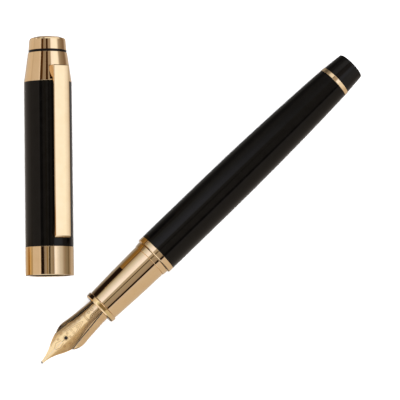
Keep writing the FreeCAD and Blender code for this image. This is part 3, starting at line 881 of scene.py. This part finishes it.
def make_stage():
    """A pale floor that curves up into a pale backdrop. Reflections see the studio instead of it."""
    material, tree, shader, place = new_material("pale_floor")
    grain = noise(tree, place, 0.02, detail=2.0)
    tone = colour_ramp(tree, grain, [(0.3, (0.86, 0.86, 0.86)), (0.7, (0.88, 0.88, 0.88))])
    tree.links.new(tone, shader.inputs["Base Color"])
    shader.inputs["Roughness"].default_value = 1.0
    shader.inputs["Specular IOR Level"].default_value = 0.0
    flat, bend, sides = 1.3, 0.9, 64
    outline = [(0.0, 0.0), (0.3, 0.0), (0.8, 0.0), (flat, 0.0)]
    outline += [(flat + bend * math.sin(a), bend - bend * math.cos(a))
                for a in np.linspace(0.1, math.pi / 2, 16)]
    outline += [(2.2, 1.6), (1.9, 2.3), (1.2, 2.8), (0.0, 3.0)]
    vertices = [(radius * math.cos(a), radius * math.sin(a), height)
                for radius, height in outline for a in around(sides)]
    floor = stage_mesh("floor_and_backdrop", vertices, tube_faces(len(outline), sides), material)
    floor.visible_glossy = False
    floor.visible_transmission = False
    floor.visible_shadow = False
    floor.visible_diffuse = False


make_stage()


def reflector(name, middle, along, across, size, stops):
    """A small glowing card that the metal on one side of it mirrors; stops are (mm along it, colour)."""
    material, tree, shader, place = new_material(name)
    shader.inputs["Base Color"].default_value = (0.0, 0.0, 0.0, 1.0)
    shader.inputs["Specular IOR Level"].default_value = 0.0
    shader.inputs["Emission Strength"].default_value = 1.0
    parts = tree.nodes.new("ShaderNodeSeparateXYZ")
    tree.links.new(place, parts.inputs[0])
    length, width = size
    share = calculate(tree, "ADD", calculate(tree, "DIVIDE", parts.outputs[0], length), 0.5)
    glow = colour_ramp(tree, share, [(at / length + 0.5, colour) for at, colour in stops])
    tree.links.new(glow, shader.inputs["Emission Color"])
    seen_from = tree.nodes.new("ShaderNodeNewGeometry")
    tree.links.new(spread(tree, seen_from.outputs["Backfacing"], 0, 1, 1, 0), shader.inputs["Alpha"])
    corners = [(a * length * MM / 2, b * width * MM / 2, 0.0)
               for a, b in ((-1, -1), (1, -1), (1, 1), (-1, 1))]
    card = stage_mesh(name, corners, [(0, 1, 2, 3)], material)
    along, across = Vector(along).normalized(), Vector(across).normalized()
    card.matrix_world = Matrix.Translation(Vector(middle) * MM) @ Matrix(
        (along, across, along.cross(across))).transposed().to_4x4()
    card.visible_camera = False
    card.visible_diffuse = False
    card.visible_shadow = False
    card.visible_transmission = False


BLACK = (0.012, 0.006, 0.004)
DEEP_BROWN = (0.07, 0.03, 0.008)
BROWN = (0.3, 0.25, 0.2)
UPWARDS = (0, 0, 1)
CAP_AXIS = Vector(mounts["crown_face"]["axis"])
CAP_SIDE = Vector((CAP_AXIS.y, -CAP_AXIS.x, 0))

# Cards near the object, for what differs from place to place in its reflections. Lengths are in millimetres.
reflector("striped_card_by_cone", (-0.15, 38.9, 30.0), CAP_SIDE, -CAP_AXIS, (25.0, 18.0), [
    (-12.5, (0.95, 0.88, 0.8)), (-11.5, (0.95, 0.88, 0.8)), (-10.9, DEEP_BROWN), (-4.1, DEEP_BROWN),
    (-3.5, BROWN), (1, (0.29, 0.24, 0.2)), (2.3, (0.39, 0.34, 0.29)), (3.0, (0.05, 0.02, 0.004)),
    (6.7, (0.05, 0.02, 0.004)), (7.4, (0.38, 0.33, 0.28)), (12.5, (0.42, 0.36, 0.31))])
reflector("pale_card_by_nib", (-53.4, -25.4, 21.0), (0.2605, 0.9655, 0), (0.9655, -0.2605, 0), (22.0, 26.0), [
    (-11, (0.46, 0.39, 0.28)), (-3.3, (0.58, 0.5, 0.37)), (-2.5, (1.0, 1.02, 1.0)),
    (11, (1.0, 1.05, 1.05))])
reflector("black_card_by_grip", (-31.85, -23.5, 8.85), UPWARDS, (-1, 0, 0), (3.7, 12.3), [
    (-1.85, (0.06, 0.045, 0.04)), (-1.2, BLACK), (1.4, BLACK), (1.85, (0.1, 0.08, 0.05))])
reflector("amber_card_by_grip", (-19.95, -23.5, 8.85), UPWARDS, (-1, 0, 0), (3.7, 11.5), [
    (-1.85, (0.22, 0.14, 0.055)), (0.3, (0.24, 0.13, 0.03)), (0.8, (0.36, 0.22, 0.08)),
    (1.1, (0.09, 0.05, 0.01)), (1.4, (0.09, 0.05, 0.01)), (1.85, (0.5, 0.4, 0.3))])
reflector("bronze_card_by_band", (-31.94, -17.76, 16.5), UPWARDS, CAP_AXIS, (16.0, 9.6), [
    (-8, (0.36, 0.31, 0.25)), (-7.2, BROWN), (-6.9, (0.15, 0.12, 0.075)), (-6.4, (0.15, 0.12, 0.075)),
    (-6.0, (0.22, 0.19, 0.15)), (-4.0, (0.27, 0.23, 0.18)), (-2.8, (0.36, 0.31, 0.27)),
    (-1.0, (0.56, 0.55, 0.55)), (1.3, (0.62, 0.62, 0.65)), (2.8, (0.74, 0.76, 0.82)),
    (5.5, (0.88, 0.9, 1.0)), (8, (1.0, 1.0, 1.12))])


SOFT_STRENGTH, SOFT_ELEVATION, SOFT_WIDTH = 1.9, 62, 80


def soft_light(name, azimuth):
    """A soft distant light that the polished metal doesn't mirror; elevation and width are in degrees too."""
    data = bpy.data.lights.new(name, "SUN")
    data.energy = SOFT_STRENGTH
    data.angle = math.radians(SOFT_WIDTH)
    light = linked(name, data)
    a, e = math.radians(azimuth), math.radians(SOFT_ELEVATION)
    towards = Vector((math.cos(a) * math.cos(e), math.sin(a) * math.cos(e), math.sin(e)))
    light.rotation_mode = "QUATERNION"
    light.rotation_quaternion = towards.to_track_quat("Z", "Y")
    light.visible_glossy = False


for number, azimuth in enumerate((70, 190, 310)):
    soft_light("soft_light_%d" % number, azimuth)

# The studio round the object, as stripes across the pen and across the cap. A stop's place is the slope in
# degrees of the surface that mirrors it to a viewer above, from -90 on the left to 90 on the right. The pen
# has its own stripes for the lip, the grip's front, the grip's back with the barrel, and the tail, and the cap
# for the band and for the rest. The stops are fitted to one photographed pen, so this is no neutral studio.
# A ramp holds 32 stops at most.
DARK_SIDE = [
    (-90, (0.45, 0.47, 0.52)), (-76, (0.24, 0.23, 0.25)), (-66, (0.13, 0.115, 0.11)),
    (-60, (0.05, 0.04, 0.04)), (-54, (0.017, 0.011, 0.011)), (-46, (0.017, 0.011, 0.011)),
    (-42, (0.045, 0.033, 0.015)), (-38, (0.22, 0.18, 0.14))]
GREY_SIDE = [
    (-90, (0.45, 0.47, 0.52)), (-76, (0.38, 0.37, 0.37)), (-66, (0.3, 0.28, 0.26)),
    (-60, (0.22, 0.2, 0.18)), (-54, (0.11, 0.1, 0.09)), (-46, (0.11, 0.1, 0.09)), (-42, (0.2, 0.18, 0.16))]
PEN_TOP = [
    (-33, (0.56, 0.55, 0.5)), (-24, (0.77, 0.8, 0.9)), (-18, (0.98, 1.0, 1.2)), (-10, (1.03, 1.08, 1.28)),
    (-8.5, (0.45, 0.42, 0.38)), (-2.6, (0.4, 0.355, 0.3)), (-2.1, (0.05, 0.035, 0.02)),
    (-0.1, (0.05, 0.035, 0.02)), (0.4, (0.38, 0.34, 0.28)), (13, (0.34, 0.29, 0.25))]
PEN_RIGHT = [
    (15.0, BROWN), (15.8, BLACK), (20.6, BLACK), (21.6, (0.63, 0.57, 0.56)), (30, (0.62, 0.55, 0.48)),
    (60, (0.61, 0.53, 0.45)), (75, (0.58, 0.53, 0.49)), (90, (0.54, 0.52, 0.5))]
PEN_FRONT = [*DARK_SIDE, *PEN_TOP, *PEN_RIGHT]
PEN_BACK = [*GREY_SIDE, (-36, (0.46, 0.42, 0.38)), *PEN_TOP, *PEN_RIGHT]
PEN_TAIL = [
    *GREY_SIDE, (-36, (0.3, 0.27, 0.24)), (-24, (0.33, 0.31, 0.3)), (-11, (0.42, 0.42, 0.43)),
    (-7, (0.33, 0.29, 0.24)), (13, (0.25, 0.21, 0.18)), *PEN_RIGHT]
PEN_LIP = [
    (-90, (0.45, 0.4, 0.35)), (-68, (0.3, 0.2, 0.1)), (-62, (0.04, 0.022, 0.01)),
    (-42, (0.04, 0.022, 0.01)), (-36, (0.6, 0.5, 0.4)), (-20, (1.0, 1.0, 0.8)), (-8, (0.26, 0.19, 0.09)),
    (15, (0.22, 0.16, 0.08)), (20, (0.62, 0.56, 0.4)), (90, (0.55, 0.5, 0.4))]
CAP_RIGHT = [
    (20, (1.08, 1.15, 1.28)), (28, (1.08, 1.14, 1.22)), (31.5, (0.86, 0.86, 0.9)), (34, (0.42, 0.37, 0.33)),
    (42, (0.29, 0.24, 0.19))]
CAP_BAND = [
    (-90, (0.62, 0.56, 0.52)), (-68, (0.55, 0.42, 0.29)), (-63, (0.52, 0.36, 0.17)),
    (-61, (0.4, 0.2, 0.05)), (-58.5, (0.22, 0.09, 0.012)), (-56, (0.24, 0.1, 0.012)),
    (-54.5, (0.61, 0.42, 0.17)), (-51, (0.58, 0.4, 0.18)), (-47.5, (0.42, 0.32, 0.18)),
    (-45, (0.42, 0.33, 0.2)), (-43, (0.66, 0.57, 0.49)), (-26, (0.64, 0.56, 0.49)),
    (-22.4, (0.8, 0.7, 0.64)), (-21.2, BROWN), (-20.4, BLACK), (-13.4, BLACK), (-12.6, (0.28, 0.24, 0.2)),
    (-9, (0.33, 0.28, 0.26)), (-3.4, (0.33, 0.28, 0.23)), (-2.7, (0.05, 0.03, 0.01)),
    (-0.2, (0.05, 0.03, 0.01)), (0.6, (0.32, 0.28, 0.24)), (8.8, (0.36, 0.32, 0.29)),
    (10.6, (1.0, 1.02, 1.2)), *CAP_RIGHT, (54, (0.2, 0.16, 0.12)), (62, (0.5, 0.44, 0.4))]
CAP_TUBE = [
    (-90, (0.62, 0.56, 0.52)), (-49, (0.66, 0.57, 0.49)), (-46.5, (0.54, 0.46, 0.38)),
    (-43, (0.62, 0.54, 0.47)), (-26, (0.64, 0.56, 0.49)), (-22.4, (0.74, 0.66, 0.62)), (-21.6, BROWN),
    (-20.6, BLACK), (-14.9, BLACK), (-13.9, BROWN), (-10, (0.29, 0.24, 0.2)), (-3, (0.39, 0.34, 0.29)),
    (-2.4, (0.1, 0.07, 0.04)), (-0.6, (0.1, 0.07, 0.04)), (0.4, (0.4, 0.34, 0.29)),
    (7.5, (0.42, 0.36, 0.31)), (10.5, (1.05, 1.08, 1.22)), *CAP_RIGHT, (56, (0.2, 0.14, 0.1)),
    (62, (0.33, 0.27, 0.23)), (64, (0.5, 0.44, 0.4)), (90, (0.7, 0.66, 0.68))]


def make_studio():
    """The studio as the world's light: stripes across the pen and across the cap, and pale card elsewhere."""
    world = bpy.data.worlds.new("studio")
    bpy.context.scene.world = world
    world.use_nodes = True
    tree = world.node_tree
    background = next(node for node in tree.nodes if node.type == "BACKGROUND")
    coordinates = tree.nodes.new("ShaderNodeTexCoord")
    parts = tree.nodes.new("ShaderNodeSeparateXYZ")
    tree.links.new(coordinates.outputs["Generated"], parts.inputs[0])
    x, y, z = parts.outputs

    def stripes(across, stops):
        """The stripes' colour; a direction leans from the vertical by twice the slope that mirrors it."""
        turn = calculate(tree, "ARCTAN2", across, z)
        place = calculate(tree, "ADD", calculate(tree, "MULTIPLY", turn, 0.5 / math.pi), 0.5)
        return colour_ramp(tree, place, [(degrees / 180 + 0.5, colour) for degrees, colour in stops])

    def between(value, rise, fall):
        """1 between two values, 0 outside them, with a soft rise and fall."""
        return calculate(tree, "MULTIPLY", spread(tree, value, *rise, 0, 1), spread(tree, value, *fall, 1, 0))

    def changing(value, start, end, first, second):
        """One colour up to the start, the other from the end on."""
        return mixed(tree, spread(tree, value, start, end, 0, 1), first, second)

    # How far a direction leans along an axis tells which piece mirrors it, and so which stripes it gets.
    cap_across = weighted_sum(tree, x, CAP_SIDE.x, y, CAP_SIDE.y)
    cap_along = weighted_sum(tree, x, CAP_AXIS.x, y, CAP_AXIS.y)
    cap = changing(cap_along, 0.055, 0.06, stripes(cap_across, CAP_BAND), stripes(cap_across, CAP_TUBE))
    pen_across = calculate(tree, "MULTIPLY", y, -1.0)
    pen = changing(x, -0.08, -0.06, stripes(pen_across, PEN_LIP), stripes(pen_across, PEN_FRONT))
    pen = changing(x, 0.005, 0.03, pen, stripes(pen_across, PEN_BACK))
    pen = changing(x, 0.07, 0.24, pen, stripes(pen_across, PEN_TAIL))
    # Elsewhere there is pale card, dark below the horizon and far out beyond the crown.
    card = colour_ramp(tree, calculate(tree, "ADD", calculate(tree, "MULTIPLY", z, 0.5), 0.5), [
        (0.42, (0.15, 0.13, 0.115)), (0.52, (0.95, 0.93, 0.92)), (1.0, (0.9, 0.9, 0.9))])
    beyond_crown = spread(tree, cap_along, 0.78, 0.88, 0, 0.85)
    dark_card = colour_ramp(tree, z, [(0, (0.1, 0.085, 0.07)), (1, (0.16, 0.14, 0.12))])
    card = mixed(tree, beyond_crown, card, dark_card)
    light = mixed(tree, between(cap_along, (-0.12, -0.06), (0.5, 0.6)), card, cap)
    light = mixed(tree, between(x, (-0.17, -0.12), (0.28, 0.34)), light, pen)
    tree.links.new(light, background.inputs["Color"])
    background.inputs["Strength"].default_value = 1.0


make_studio()

bpy.context.scene.view_settings.view_transform = "Standard"
